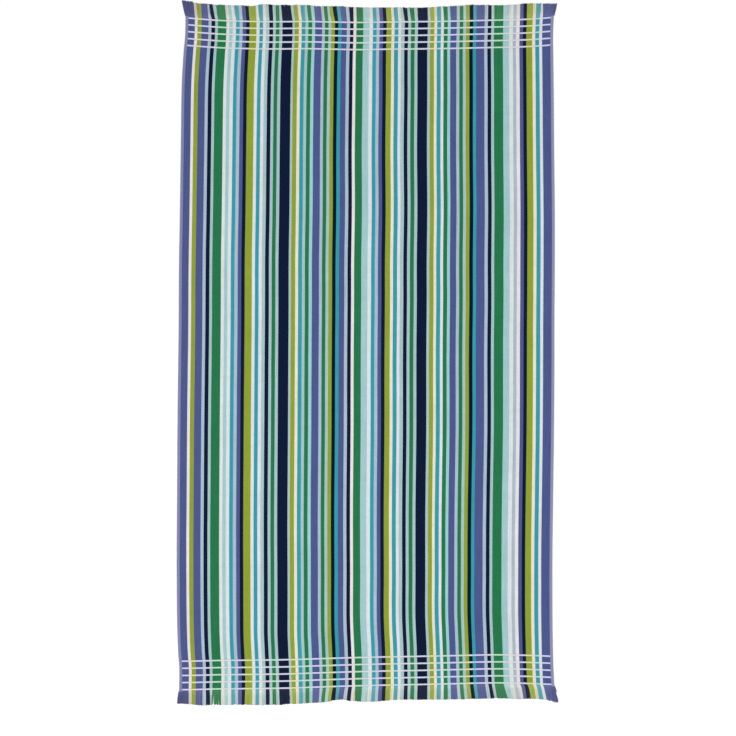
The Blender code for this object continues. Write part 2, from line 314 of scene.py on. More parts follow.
def lay(plan_place, station):
    """Where a place of the warp plan lies at a station: across and along, in metres."""
    share = plan_place / PLAN_WIDTH
    left = read_curve(SIDES, "left", station)
    right = read_curve(SIDES, "right", station)
    across = left + share * (right - left) + wander(share, station)
    return across, bowed(across, station)


def line_middles(end):
    """How far in from the cloth's end the middle of each cross line is."""
    return [LINE_INSET + line * end.line_pitch for line in range(LINES_PER_END)]


def height_along(station):
    """Height of the pile's top at a station: full, down in a cross line, or round at its shoulder."""
    for end in ENDS:
        inset = end.facing * (end.cloth_end - station)
        middles = line_middles(end)
        if inset > middles[-1] + end.line_pitch:
            continue
        if inset < LINE_INSET:
            return END_TOP + (GROOVE_TOP - END_TOP) * ease(inset / (LINE_INSET - LINE_WIDTH / 2))
        gap = min(abs(inset - middle) for middle in middles) - LINE_WIDTH / 2
        if gap <= 0:
            return GROOVE_TOP
        rise = math.sin(0.5 * math.pi * min(gap / PILE_SHOULDER, 1.0))
        dome = 1 - ease(gap / (0.5 * (end.line_pitch - LINE_WIDTH)))
        return GROOVE_TOP + (PILE_TOP - GROOVE_TOP) * rise - CELL_DOME * dome * rise
    return PILE_TOP


def height_across(plan_place):
    """Height of the top at a place of the warp plan, and whether that place is hem."""
    for hem, inset in ((LEFT_HEM, plan_place), (RIGHT_HEM, PLAN_WIDTH - plan_place)):
        if inset < FOLD_RADIUS:
            share = 1 - inset / FOLD_RADIUS
            return HEM_TOP - FOLD_RADIUS * (1 - math.sqrt(max(1 - share * share, 0.0))), True
        if inset <= hem + ROUNDING:
            seam = 1 - abs(inset - (hem - SEAM_INSET)) / SEAM_HALF_WIDTH
            return HEM_TOP - SEAM_DEPTH * ease(seam), True
        if inset < hem + PILE_SHOULDER:
            rise = math.sin(0.5 * math.pi * (inset - hem) / PILE_SHOULDER)
            return HEM_TOP + (PILE_TOP - HEM_TOP) * rise, False
    return PILE_TOP, False


def unevenness(across, along):
    """Small waves of a cloth that was folded and then laid out, never below the surface under it."""
    total = 0.0
    for waves in SMALL_WAVES:
        value = noise.noise(Vector((across * waves.across, along * waves.along, waves.level)))
        total += waves.height * (value + WAVE_MIDDLE)
    return max(total * MM, 0.0)


def top_height(plan_place, station, across, along):
    """Height of the cloth's top over the surface under it."""
    height, is_hem = height_across(plan_place)
    if not is_hem:
        height = min(height, height_along(station))
    elif station > HEAD.cloth_end - LINE_INSET / 2 or station < FOOT.cloth_end + LINE_INSET / 2:
        height = min(height, height_along(station) + HEM_END_EXTRA)
    return lift(across, along) + unevenness(across, along) + height


# ---------------------------------------------------------------------------------------------
# Node trees


def live(sockets, name):
    """The socket of that name that is in use, or the one at that place."""
    if isinstance(name, int):
        return sockets[name]
    return next(socket for socket in sockets if socket.name == name and socket.enabled)


class Wiring:
    """Short calls that build one node tree. A socket given as a value is linked, a number is set."""

    def __init__(self, tree):
        self.tree = tree
        self.inlet = None

    def put(self, value, socket):
        if isinstance(value, bpy.types.NodeSocket):
            self.tree.links.new(value, socket)
        else:
            socket.default_value = value

    def add(self, kind, sockets=None, **settings):
        """A node with its settings, and values for its inputs."""
        node = self.tree.nodes.new(kind)
        for name, value in settings.items():
            setattr(node, name, value)
        for name, value in (sockets or {}).items():
            self.put(value, live(node.inputs, name))
        return node

    def out(self, kind, sockets=None, result=0, **settings):
        """The same, giving one of its outputs."""
        return live(self.add(kind, sockets, **settings).outputs, result)

    def maths(self, operation, *values):
        """A Math node's result."""
        return self.out("ShaderNodeMath", dict(enumerate(values)), operation=operation)

    def plus(self, first, second):
        return self.maths("ADD", first, second)

    def minus(self, first, second):
        return self.maths("SUBTRACT", first, second)

    def times(self, first, second):
        return self.maths("MULTIPLY", first, second)

    def sine(self, value, rate=1.0):
        """The sine of a value times a rate."""
        return self.maths("SINE", self.times(value, rate))

    def share(self, value):
        """A value kept between 0 and 1."""
        return self.maths("MINIMUM", self.maths("MAXIMUM", value, 0.0), 1.0)

    def vector(self, operation, first, second):
        """A Vector Math node's result."""
        return self.out("ShaderNodeVectorMath", {0: first, 1: second}, operation=operation)

    def point(self, x=0.0, y=0.0, z=0.0):
        return self.out("ShaderNodeCombineXYZ", {"X": x, "Y": y, "Z": z})

    def noise(self, at, scale, detail=2.0, roughness=0.5):
        """A noise texture's value, about 0.5 on average."""
        sockets = {"Vector": at, "Scale": scale, "Detail": detail, "Roughness": roughness}
        return self.out("ShaderNodeTexNoise", sockets, result="Fac", noise_dimensions="3D")

    def swing(self, value, amount):
        """A value round 0.5 turned into one round 0, that swings by the amount."""
        return self.times(self.minus(value, 0.5), 2 * amount)

    def ramp(self, value, start, stop, low, high, curve="LINEAR"):
        """From low to high while the value goes from start to stop."""
        sockets = {"Value": value, "From Min": start, "From Max": stop, "To Min": low, "To Max": high}
        return self.out("ShaderNodeMapRange", sockets, interpolation_type=curve)

    def mix(self, share, first, second, blend="MIX"):
        """Two colours mixed."""
        sockets = {"Factor": share, "A": first, "B": second}
        return self.out("ShaderNodeMix", sockets, result="Result", data_type="RGBA", blend_type=blend)

    def parts(self, colour):
        """A colour's red, green and blue."""
        return tuple(self.add("ShaderNodeSeparateColor", {"Color": colour}).outputs)

    def brightest(self, colour):
        """The highest of a colour's three parts."""
        red, green, blue = self.parts(colour)
        return self.maths("MAXIMUM", self.maths("MAXIMUM", red, green), blue)

    def curve(self, value, *factors):
        """A polynomial of a value: its constant first, then the factor of each higher power."""
        total = factors[-1]
        for factor in reversed(factors[:-1]):
            total = self.plus(factor, self.times(value, total))
        return total

    def pastel(self, colour, veil):
        """The colour under an even veil of white, at its brightest with the same hue."""
        veiled = self.vector("ADD", colour, (veil, veil, veil))
        level = self.brightest(veiled)
        return self.vector("DIVIDE", veiled, self.point(level, level, level))

    def take(self, name):
        """One of the tree's own inputs."""
        return live(self.inlet.outputs, name)

    def named(self, name):
        """A float attribute of the geometry."""
        sockets = {"Name": name}
        return self.out("GeometryNodeInputNamedAttribute", sockets, "Attribute", data_type="FLOAT")

    def store(self, geometry, name, value, domain="POINT", data_type="FLOAT"):
        """The geometry with one more attribute."""
        sockets = {"Geometry": geometry, "Name": name, "Value": value}
        return self.out("GeometryNodeStoreNamedAttribute", sockets, domain=domain, data_type=data_type)

    def random(self, low, high, seed):
        """A random number for each element."""
        sockets = {"Min": low, "Max": high, "Seed": seed}
        return self.out("FunctionNodeRandomValue", sockets, "Value", data_type="FLOAT")

    def given_lines(self):
        """The tree's own geometry, a mesh of open lines, as curves."""
        return self.out("GeometryNodeMeshToCurve", {"Mesh": self.take("Geometry")})

    def along_spline(self, result="Factor"):
        """How far along its spline a point is, as a share or as a length."""
        return self.out("GeometryNodeSplineParameter", result=result)

    def resample(self, curve, length):
        """The curve with its points that far apart."""
        sockets = {"Curve": curve}
        node = self.add("GeometryNodeResampleCurve", sockets, mode="LENGTH")
        self.put(length, live(node.inputs, "Length"))
        return node.outputs["Curve"]

    def strand(self, start, end, points):
        """A straight strand with that many points."""
        line = self.out("GeometryNodeCurvePrimitiveLine", {"Start": start, "End": end})
        return self.out("GeometryNodeResampleCurve", {"Curve": line, "Count": points})

    def move(self, geometry, offset):
        return self.out("GeometryNodeSetPosition", {"Geometry": geometry, "Offset": offset})

    def circle(self, sides, radius):
        return self.out("GeometryNodeCurvePrimitiveCircle", {"Resolution": sides, "Radius": radius})

    def tube(self, curve, profile, scale=1.0):
        """A tube along a curve, closed at its ends."""
        sockets = {"Curve": curve, "Profile Curve": profile, "Scale": scale, "Fill Caps": True}
        return self.out("GeometryNodeCurveToMesh", sockets)

    def plan_map(self, tubes, across, along):
        """The tubes with their places in the warp plan as a UV map."""
        plan = self.point(across, along)
        return self.store(tubes, UV_NAME, plan, domain="CORNER", data_type="FLOAT2")


def new_geometry_tree(name, inputs):
    """A Geometry Nodes tree with named inputs: their kind of socket and default, by name."""
    tree = bpy.data.node_groups.new(name, "GeometryNodeTree")
    tree.interface.new_socket("Geometry", in_out="INPUT", socket_type="NodeSocketGeometry")
    for label, (kind, default) in inputs.items():
        socket = tree.interface.new_socket(label, in_out="INPUT", socket_type=f"NodeSocket{kind}")
        if default is not None:
            socket.default_value = default
    tree.interface.new_socket("Geometry", in_out="OUTPUT", socket_type="NodeSocketGeometry")
    wires = Wiring(tree)
    wires.inlet = wires.add("NodeGroupInput")
    return wires


def end_geometry_tree(wires, geometry):
    """Every tree ends the same way: real, smooth faces with one material."""
    real = wires.out("GeometryNodeRealizeInstances", {"Geometry": geometry})
    smooth = wires.out("GeometryNodeSetShadeSmooth", {"Geometry": real, "Shade Smooth": True})
    sockets = {"Geometry": smooth, "Material": wires.take("Finish")}
    wires.add("NodeGroupOutput", {"Geometry": wires.out("GeometryNodeSetMaterial", sockets)})
    return wires.tree


LIGHT_LEVEL = 1.10  # the stage's light on the cloth, so that yarn is that much darker than it looks


def from_srgb(*levels):
    """Linear colour of yarn that looks like these screen levels, from 0 to 255, on the stage."""
    shares = [level / 255 for level in levels]
    linear = [s / 12.92 if s <= 0.04045 else ((s + 0.055) / 1.055) ** 2.4 for s in shares]
    return tuple(level / LIGHT_LEVEL for level in linear)


# ---------------------------------------------------------------------------------------------
# Sizes and colours that a user would change

YARN_SPACING = 0.41 * MM
YARN_RADIUS = 0.44 * MM
LENGTH_SPREAD = 1.1 * MM
STITCH_PITCH = 3.2 * MM
WEFTS_PER_LINE = 6


def colour_property(label, what, levels):
    return FloatVectorProperty(
        name=label,
        description=what,
        size=3,
        min=0.0,
        max=1.0,
        subtype="COLOR",
        default=from_srgb(*levels),
    )


def length_property(label, what, default, low, high):
    return FloatProperty(
        name=label,
        description=what,
        default=default,
        min=low * MM,
        max=high * MM,
        unit="LENGTH",
    )


class TowelColours(bpy.types.PropertyGroup):
    """Yarn colours of the towel."""

    periwinkle: colour_property("Periwinkle", "Blue-violet warp stripes", (77, 88, 141))
    navy: colour_property("Navy", "Dark blue warp stripes", (12, 25, 54))
    black_navy: colour_property("Black navy", "Darkest warp stripes", (4, 26, 44))
    green: colour_property("Green", "Grass green warp stripes", (38, 119, 75))
    lime: colour_property("Lime", "Yellow-green warp stripes", (143, 160, 50))
    turquoise: colour_property("Turquoise", "Turquoise warp stripes", (52, 155, 172))
    aqua: colour_property("Aqua", "Wide pale aqua warp stripes", (161, 200, 203))
    grey_aqua: colour_property("Grey aqua", "Narrow pale aqua warp stripes", (167, 195, 198))
    bright_aqua: colour_property("Bright aqua", "Brighter pale aqua stripes", (155, 205, 207))
    pale_blue: colour_property("Pale blue", "Pale blue warp stripes", (170, 190, 205))
    blue_grey: colour_property("Blue grey", "Pale blue-grey warp stripe", (169, 187, 198))
    white: colour_property("White", "White warp stripes", (222, 225, 227))
    pink_white: colour_property("Pink white", "White warp stripes with a pink cast", (233, 225, 226))
    cream: colour_property("Cream", "Cream warp stripes", (234, 226, 206))
    hem_left: colour_property("Left hem", "Periwinkle yarn of the left hem", (79, 89, 145))
    hem_right: colour_property("Right hem", "Periwinkle yarn of the right hem", (79, 89, 145))
    line_weft: colour_property("Line weft", "White weft yarn of the cross lines", (233, 220, 214))
    hem_weft: colour_property("Hem weft", "White weft yarn that shows in the hems", (236, 231, 238))


class TowelSizes(bpy.types.PropertyGroup):
    """Sizes of what the towel's ends and edges are made of."""

    yarn_spacing: length_property(
        "Fringe yarn spacing", "Width of cloth from one cut yarn to the next", YARN_SPACING, 0.35, 5.0
    )
    yarn_radius: length_property(
        "Fringe yarn radius", "Half the thickness of a fringe yarn", YARN_RADIUS, 0.1, 1.0
    )
    length_spread: length_property(
        "Length spread", "How much a fringe yarn's length differs from the next", LENGTH_SPREAD, 0.0, 5.0
    )
    wefts_per_line: IntProperty(
        name="Wefts per line",
        description="White weft yarns side by side in each cross line",
        default=WEFTS_PER_LINE,
        min=2,
        max=10,
    )
    stitch_pitch: length_property(
        "Stitch pitch", "Length of cloth from one hem stitch to the next", STITCH_PITCH, 1.5, 8.0
    )


# ---------------------------------------------------------------------------------------------
# Finishes

FULL_TURN = 2 * math.pi
RAMP_STEP = 0.25 * MM
RAMP_STEPS = 255  # a colour ramp is kept as 256 entries, so this span gives one entry to each step
STOP_LEAD = 0.25  # a stop lies this share of a step before its entry, so that rounding can't miss it

# Dark pile leans over a paler stripe beside it by this much, once for each ratio between their levels
# that is passed.
EDGE_CREEP = 0.25 * MM
CREEP_RATIOS = (1.6, 6.0)

# Textures of the yarns: grains or tufts to the metre across and along, then how finely a grain is
# broken up, or how far a tuft is from its regular place.
Grain = namedtuple("Grain", "across along detail roughness", defaults=(2.0, 0.5))
Tufts = namedtuple("Tufts", "across along randomness")
STRIPE_FRAY = Grain(1250, 620, 1.0)
PILE_TUFTS = Tufts(1250, 1150, 0.75)
PILE_FUZZ = Grain(2300, 2100, 2.0, 0.6)
PILE_STREAKS = Grain(760, 16)
BRUSHED_PILE = Grain(260, 14, 3.0)
# Broad patches and smaller marks of painted nap shading on the pile, where its lay catches the light.
NAP_SHADE_MOTTLE = Grain(11, 8, 3.0)
NAP_SHADE_MARKS = Grain(30, 70)
HEM_FUZZ = Grain(900, 420)
HEM_SLUBS = Grain(60, 240)
WARP_RIBS = Grain(1500, 90)
TERRY_LOOPS = Tufts(620, 480, 0.55)
LOOP_FUZZ = Grain(1800, 1500, 1.0)
WEFT_FUZZ = Grain(1400, 1400)
YARN_FIBRES = Grain(2600, 900)
THREAD_FIBRES = 1900.0

# Distances from one warp yarn and one weft yarn to the next, where a plain weave shows.
HEM_PITCHES = (0.75 * MM, 0.62 * MM)
LINE_PITCHES = (0.9 * MM, 0.85 * MM)
PICK_PITCH = 0.9 * MM
TWIST_PITCH = 1.7 * MM  # length of a fringe yarn from one turn of its twist to the next

# Shares of white weft that show in the left hem, and how much more in the right one. Share of the
# warp's tint that shows in a cross line, and white in that tint.
HEM_WEFT_SHARE = 0.21
RIGHT_HEM_EXTRA = 0.06
TIE_SHARE = 0.435
VEIL = 0.041

PILE_LEVEL = 1.06  # how light the pile is, next to its yarn's own colour

# Polynomials of a stripe's own level, the constant first: how light its cross lines and its fringe
# yarns are, and how far those yarns are washed out.
LINE_LEVEL = (0.97, -0.20, 0.16)
FRINGE_LEVEL = (1.475, -0.395)
WASH_SHARE = (0.017, 0.11, 0.44)
DARK_WASH = from_srgb(190, 164, 160)  # what dark and pale yarns fade towards where they are cut
PALE_WASH = from_srgb(199, 191, 163)
PALE_YARN = 2.5  # one over the level from which a yarn counts as pale

# Yarns by the sides of a fringe are darker, painted shade: how wide that is, and how dark at the very
# side.
LEFT_CORNER_SHADE = (60 * MM, 0.70)
RIGHT_CORNER_SHADE = (18 * MM, 0.78)


def creep_over(pale, dark):
    """How far the pile of a dark stripe leans over a paler one beside it, from their levels."""
    return sum(EDGE_CREEP for ratio in CREEP_RATIOS if pale > ratio * dark)


def stripe_starts(colours):
    """Where each stripe of the warp plan starts, and where the last one ends, in metres."""
    levels = [sum(getattr(colours, name)) for name, _ in WARP_PLAN]
    starts = [0.0]
    edge = 0.0
    for (_, width), before, after in zip(WARP_PLAN, levels, levels[1:]):
        edge += width * MM
        starts.append(edge + creep_over(after, before) - creep_over(before, after))
    return starts + [PLAN_WIDTH]


def stripe_chart(colours):
    """Node group that gives the warp's colour at a place of the warp plan."""
    tree = bpy.data.node_groups.new("stripe_chart", "ShaderNodeTree")
    tree.interface.new_socket("Across", in_out="INPUT", socket_type="NodeSocketFloat")
    tree.interface.new_socket("Color", in_out="OUTPUT", socket_type="NodeSocketColor")
    wires = Wiring(tree)
    across = live(wires.add("NodeGroupInput").outputs, "Across")
    span = RAMP_STEP * RAMP_STEPS
    starts = stripe_starts(colours)
    colour = None
    for ramp_number in range(math.ceil(PLAN_WIDTH / span)):
        ramp_start = ramp_number * span
        place = wires.maths("DIVIDE", wires.minus(across, ramp_start), span)
        node = wires.add("ShaderNodeValToRGB", {"Fac": place})
        ramp = node.color_ramp
        ramp.interpolation = "CONSTANT"
        ramp.elements.remove(ramp.elements[1])
        stop = ramp.elements[0]
        stop.position = 0.0
        for index, (name, _) in enumerate(WARP_PLAN):
            if starts[index] >= ramp_start + span or starts[index + 1] <= ramp_start:
                continue
            if starts[index] > ramp_start:
                steps = round((starts[index] - ramp_start) / RAMP_STEP)
                stop = ramp.elements.new(max((steps - STOP_LEAD) / RAMP_STEPS, 0.0))
            stop.color = (*getattr(colours, name), 1.0)
        if colour is None:
            colour = node.outputs["Color"]
        else:
            past = wires.maths("GREATER_THAN", across, ramp_start)
            colour = wires.mix(past, colour, node.outputs["Color"])
    wires.add("NodeGroupOutput", {"Color": colour})
    return tree


class Finish:
    """A material being made: its wiring, its shader and the cloth's own coordinates."""

    def __init__(self, name, chart, roughness, specular, sheen=0.0):
        self.material = bpy.data.materials.new(name)
        self.material.use_nodes = True
        tree = self.material.node_tree
        self.wires = Wiring(tree)
        self.shader = tree.nodes["Principled BSDF"]
        self.shader.inputs["Roughness"].default_value = roughness
        self.shader.inputs["Specular IOR Level"].default_value = specular
        self.shader.inputs["Sheen Weight"].default_value = sheen
        self.shader.inputs["Sheen Roughness"].default_value = 0.45
        self.chart = chart
        place = self.wires.out("ShaderNodeUVMap", result="UV", uv_map=UV_NAME)
        split = self.wires.add("ShaderNodeSeparateXYZ", {0: place})
        self.across = split.outputs["X"]
        self.along = split.outputs["Y"]

    def stretched(self, kind):
        """The cloth's coordinates, counted in grains or tufts of that kind."""
        x = self.wires.times(self.across, kind.across)
        y = self.wires.times(self.along, kind.along)
        return self.wires.point(x, y)

    def grain(self, kind):
        """A noise about 0.5 with the grain of that kind."""
        return self.wires.noise(self.stretched(kind), 1.0, kind.detail, kind.roughness)

    def tufts(self, kind):
        """How far a point is from the middle of its tuft or loop of that kind."""
        sockets = {"Vector": self.stretched(kind), "Scale": 1.0, "Randomness": kind.randomness}
        return self.wires.out("ShaderNodeTexVoronoi", sockets, "Distance", feature="F1")

    def stripes(self, fray):
        """The warp's colour, with the stripes' edges frayed by that many metres."""
        frayed = self.wires.swing(self.grain(STRIPE_FRAY), fray)
        return self.warp(self.wires.plus(self.across, frayed))

    def warp(self, across):
        """The warp's colour at that place of the plan."""
        node = self.wires.tree.nodes.new("ShaderNodeGroup")
        node.node_tree = self.chart
        self.wires.put(across, node.inputs["Across"])
        return node.outputs["Color"]

    def plain_weave(self, warp_pitch, weft_pitch):
        """Swing from -1 to 1 of a plain weave, where warp and weft yarns take turns on top."""
        warp = self.wires.sine(self.across, math.pi / warp_pitch)
        weft = self.wires.sine(self.along, math.pi / weft_pitch)
        return self.wires.times(warp, weft)

    def shaded(self, colour, *swings, level=1.0):
        """The colour at a level, made lighter and darker by the sum of some swings round 0."""
        wires = self.wires
        total = level
        for swing in swings:
            total = wires.plus(total, swing)
        return wires.mix(1.0, colour, wires.point(total, total, total), blend="MULTIPLY")

    def bump(self, height, depth, strength):
        """Relief of a height round 0 to 1 that is that many metres deep."""
        sockets = {"Height": height, "Distance": depth, "Strength": strength}
        self.wires.put(self.wires.out("ShaderNodeBump", sockets), self.shader.inputs["Normal"])

    def paint(self, colour):
        self.wires.put(colour, self.shader.inputs["Base Color"])
        return self.material


def velour_finish(chart):
    """Cut pile: tufts under a millimetre, streaked along the warp, with a velvet sheen."""
    finish = Finish("velour_pile", chart, roughness=0.95, specular=0.05, sheen=0.06)
    wires = finish.wires
    colour = finish.stripes(0.3 * MM)
    fuzz = wires.times(finish.grain(PILE_FUZZ), 0.5)
    tufts = wires.minus(wires.plus(0.62, fuzz), finish.tufts(PILE_TUFTS))  # about 0.5 on average
    streaks = finish.grain(PILE_STREAKS)
    finish.bump(wires.plus(tufts, wires.times(streaks, 0.35)), 0.45 * MM, 0.5)
    colour = finish.shaded(
        colour,
        # painted shade: the pile darker in the gaps between its tufts
        wires.swing(tufts, 0.20),
        wires.swing(streaks, 0.14),
        wires.swing(finish.grain(BRUSHED_PILE), 0.12),
        # painted nap shading: patches and marks where the pile's lay catches the light more or less
        wires.swing(finish.grain(NAP_SHADE_MOTTLE), 0.06),
        wires.swing(finish.grain(NAP_SHADE_MARKS), 0.06),
        level=PILE_LEVEL,
    )
    return finish.paint(colour)


def hem_finish(chart, colours):
    """Turned hem: periwinkle warp with white weft that shows between, more on the right hem."""
    finish = Finish("hem_weave", chart, roughness=0.9, specular=0.15, sheen=0.08)
    wires = finish.wires
    weave = finish.plain_weave(*HEM_PITCHES)
    grain = finish.grain(HEM_FUZZ)
    on_right = wires.maths("GREATER_THAN", finish.across, PLAN_WIDTH / 2)
    weft_share = wires.plus(HEM_WEFT_SHARE, wires.times(on_right, RIGHT_HEM_EXTRA))
    weft_share = wires.plus(weft_share, wires.times(weave, 0.16))
    weft_share = wires.share(wires.plus(weft_share, wires.swing(grain, 0.12)))
    colour = wires.mix(weft_share, finish.stripes(0.0), (*colours.hem_weft, 1.0))
    slubs = finish.grain(HEM_SLUBS)
    finish.bump(wires.plus(weave, grain), 0.18 * MM, 0.5)
    return finish.paint(finish.shaded(colour, wires.swing(slubs, 0.05)))


def flat_weave_finish(chart):
    """The flat-woven ground under a cross line and at the very end: fine warp ribs."""
    finish = Finish("flat_weave", chart, roughness=0.9, specular=0.15)
    wires = finish.wires
    ribs = finish.grain(WARP_RIBS)
    picks = wires.sine(finish.along, FULL_TURN / PICK_PITCH)
    finish.bump(wires.plus(ribs, wires.times(picks, 0.3)), 0.25 * MM, 0.6)
    return finish.paint(finish.shaded(finish.stripes(0.2 * MM), wires.swing(ribs, 0.2)))


def terry_finish(chart):
    """Underside: uncut loops in the warp's colours, in rows a loop apart."""
    finish = Finish("terry_loops", chart, roughness=0.95, specular=0.1, sheen=0.1)
    wires = finish.wires
    loops = finish.tufts(TERRY_LOOPS)
    grain = finish.grain(LOOP_FUZZ)
    # painted shade: the underside darker away from the middle of each loop
    dark = wires.times(wires.minus(0.45, loops), 0.5)
    finish.bump(wires.minus(wires.times(grain, 0.3), loops), 0.9 * MM, 0.7)
    return finish.paint(finish.shaded(finish.stripes(0.5 * MM), dark, wires.swing(grain, 0.15)))


def line_finish(chart, colours):
    """White weft yarns of a cross line, bound down by fine warp ties in the stripes' colours."""
    finish = Finish("cross_line_weft", chart, roughness=0.85, specular=0.2, sheen=0.05)
    wires = finish.wires
    warp_colour = finish.stripes(0.3 * MM)
    ties = finish.plain_weave(*LINE_PITCHES)
    grain = finish.grain(WEFT_FUZZ)
    tie_share = wires.plus(TIE_SHARE, wires.times(ties, 0.16))
    tie_share = wires.share(wires.plus(tie_share, wires.swing(grain, 0.08)))
    tint = wires.pastel(warp_colour, VEIL)
    colour = wires.mix(tie_share, (*colours.line_weft, 1.0), tint)
    _, green, blue = wires.parts(warp_colour)
    violet = wires.maths("MAXIMUM", wires.minus(blue, wires.times(green, 1.25)), 0.0)
    lit = wires.curve(wires.brightest(warp_colour), *LINE_LEVEL)
    lit = wires.plus(lit, wires.times(violet, 1.4))  # violet ties look the palest
    finish.bump(wires.minus(grain, wires.times(ties, 0.4)), 0.15 * MM, 0.5)
    return finish.paint(finish.shaded(colour, wires.swing(grain, 0.08), level=lit))


def fringe_finish(chart):
    """Cut warp yarns: twisted cotton in the stripes' colours, a little paler than the pile."""
    finish = Finish("fringe_yarn", chart, roughness=0.85, specular=0.05, sheen=0.02)
    wires = finish.wires
    colour = finish.warp(finish.across)
    tone = wires.out("ShaderNodeAttribute", result="Fac", attribute_name="tone")
    twist = wires.out("ShaderNodeAttribute", result="Fac", attribute_name="twist")
    twist = wires.sine(twist, FULL_TURN)
    fibres = finish.grain(YARN_FIBRES)
    bright = wires.brightest(colour)
    paleness = wires.maths("MINIMUM", wires.times(bright, PALE_YARN), 1.0)
    wash = wires.mix(paleness, (*DARK_WASH, 1.0), (*PALE_WASH, 1.0))
    colour = wires.mix(wires.curve(bright, *WASH_SHARE), colour, wash)
    lit = wires.curve(bright, *FRINGE_LEVEL)
    from_right = wires.minus(PLAN_WIDTH, finish.across)
    # painted shade: each side of the fringe darker, over a wider span on the left
    for inset, (width, dark) in ((finish.across, LEFT_CORNER_SHADE), (from_right, RIGHT_CORNER_SHADE)):
        lit = wires.times(lit, wires.ramp(inset, 0.0, width, dark, 1.0, curve="SMOOTHSTEP"))
    finish.bump(wires.plus(wires.times(twist, 0.5), fibres), 0.12 * MM, 0.6)
    colour = finish.shaded(
        colour,
        wires.times(tone, 0.09),
        # painted shade along the grooves of each yarn's twist
        wires.times(twist, 0.07),
        wires.swing(fibres, 0.14),
        level=lit,
    )
    return finish.paint(colour)


def thread_finish(name, *levels):
    """Sewing thread or a single pulled yarn, twisted and slightly uneven in colour."""
    finish = Finish(name, None, roughness=0.7, specular=0.3, sheen=0.05)
    wires = finish.wires
    fibres = wires.noise(wires.out("ShaderNodeTexCoord", result="Object"), THREAD_FIBRES)
    finish.bump(fibres, 0.1 * MM, 0.5)
    colour = (*from_srgb(*levels), 1.0)
    return finish.paint(finish.shaded(colour, wires.swing(fibres, 0.2)))


def floor_finish():
    """Plain matt white paper."""
    material = bpy.data.materials.new("pale_floor")
    material.use_nodes = True
    wires = Wiring(material.node_tree)
    shader = material.node_tree.nodes["Principled BSDF"]
    shader.inputs["Roughness"].default_value = 0.9
    shader.inputs["Specular IOR Level"].default_value = 0.0
    tooth = wires.noise(wires.out("ShaderNodeTexCoord", result="Object"), 400.0)
    level = wires.plus(0.975, wires.swing(tooth, 0.01))
    wires.put(wires.point(level, level, level), shader.inputs["Base Color"])
    return material


@lru_cache(maxsize=None)
def finishes():
    """All finishes by name, made once."""
    colours = bpy.context.scene.towel_colours
    chart = stripe_chart(colours)
    return {
        "velour": velour_finish(chart),
        "hem": hem_finish(chart, colours),
        "flat": flat_weave_finish(chart),
        "terry": terry_finish(chart),
        "line": line_finish(chart, colours),
        "fringe": fringe_finish(chart),
        "stitch": thread_finish("hem_thread", 150, 152, 190),
        "pale_thread": thread_finish("pale_thread", 216, 236, 216),
        "olive_thread": thread_finish("olive_thread", 150, 156, 90),
        "navy_thread": thread_finish("navy_thread", 40, 48, 72),
        "grey_thread": thread_finish("grey_thread", 70, 92, 112),
    }


# ---------------------------------------------------------------------------------------------
# Cloth

CLOTH_FINISHES = ("velour", "hem", "flat", "terry")
VELOUR, HEM_WEAVE, FLAT_WEAVE, TERRY = range(len(CLOTH_FINISHES))

# Shares of a shoulder's width, and insets from an edge, at which the cloth has rows and columns.
LINE_SHOULDER = (0.0, 0.2, 0.55, 1.0)
HEM_SHOULDER = (0.25, 0.6, 1.0)
FOLD_SHARES = (0.0, 0.15, 0.5, 1.0)
SEAM_STEPS = (-2.5 * MM, -1.6 * MM, -0.7 * MM, 0.0)
HEM_MIDDLE = 3.0 * MM
END_ROUND = 0.7 * MM


def new_object(name, mesh):
    item = bpy.data.objects.new(name, mesh)
    bpy.context.scene.collection.objects.link(item)
    return item


def cloth_rows():
    """Stations of the cloth's rows from foot to head, close together by the cross lines."""
    half = LINE_WIDTH / 2
    steps = [share * PILE_SHOULDER for share in LINE_SHOULDER]
    stations = []
    for end in ENDS:
        insets = [0.0, END_ROUND, LINE_INSET - half]
        cell = end.line_pitch - LINE_WIDTH - 2 * PILE_SHOULDER
        for number, middle in enumerate(line_middles(end)):
            if number > 0:
                insets += [middle - half - step for step in steps]
            insets += [middle]
            insets += [middle + half + step for step in steps]
            start = middle + half + steps[-1]
            insets += [start + cell * row / CELL_ROWS for row in range(1, CELL_ROWS)]
        stations += [end.cloth_end - end.facing * inset for inset in insets]
    gap_start = max(station for station in stations if station < 0)
    gap_end = min(station for station in stations if station > 0)
    rows = round((gap_end - gap_start) / BODY_ROW_STEP)
    step = (gap_end - gap_start) / rows
    return sorted(stations + [gap_start + step * row for row in range(1, rows)])


def edge_columns(hem):
    """Insets of the cloth's columns from a side edge: its fold, its seam and the pile's shoulder."""
    fold = [FOLD_RADIUS * share for share in FOLD_SHARES] + [HEM_MIDDLE]
    seam = [hem + step for step in SEAM_STEPS]
    return fold + seam + [hem + share * PILE_SHOULDER for share in HEM_SHOULDER]


def cloth_columns():
    """Places of the warp plan at which the cloth has its columns."""
    left = edge_columns(LEFT_HEM)
    right = [PLAN_WIDTH - inset for inset in reversed(edge_columns(RIGHT_HEM))]
    columns = round((right[0] - left[-1]) / BODY_COLUMN_STEP)
    step = (right[0] - left[-1]) / columns
    return left + [left[-1] + step * column for column in range(1, columns)] + right


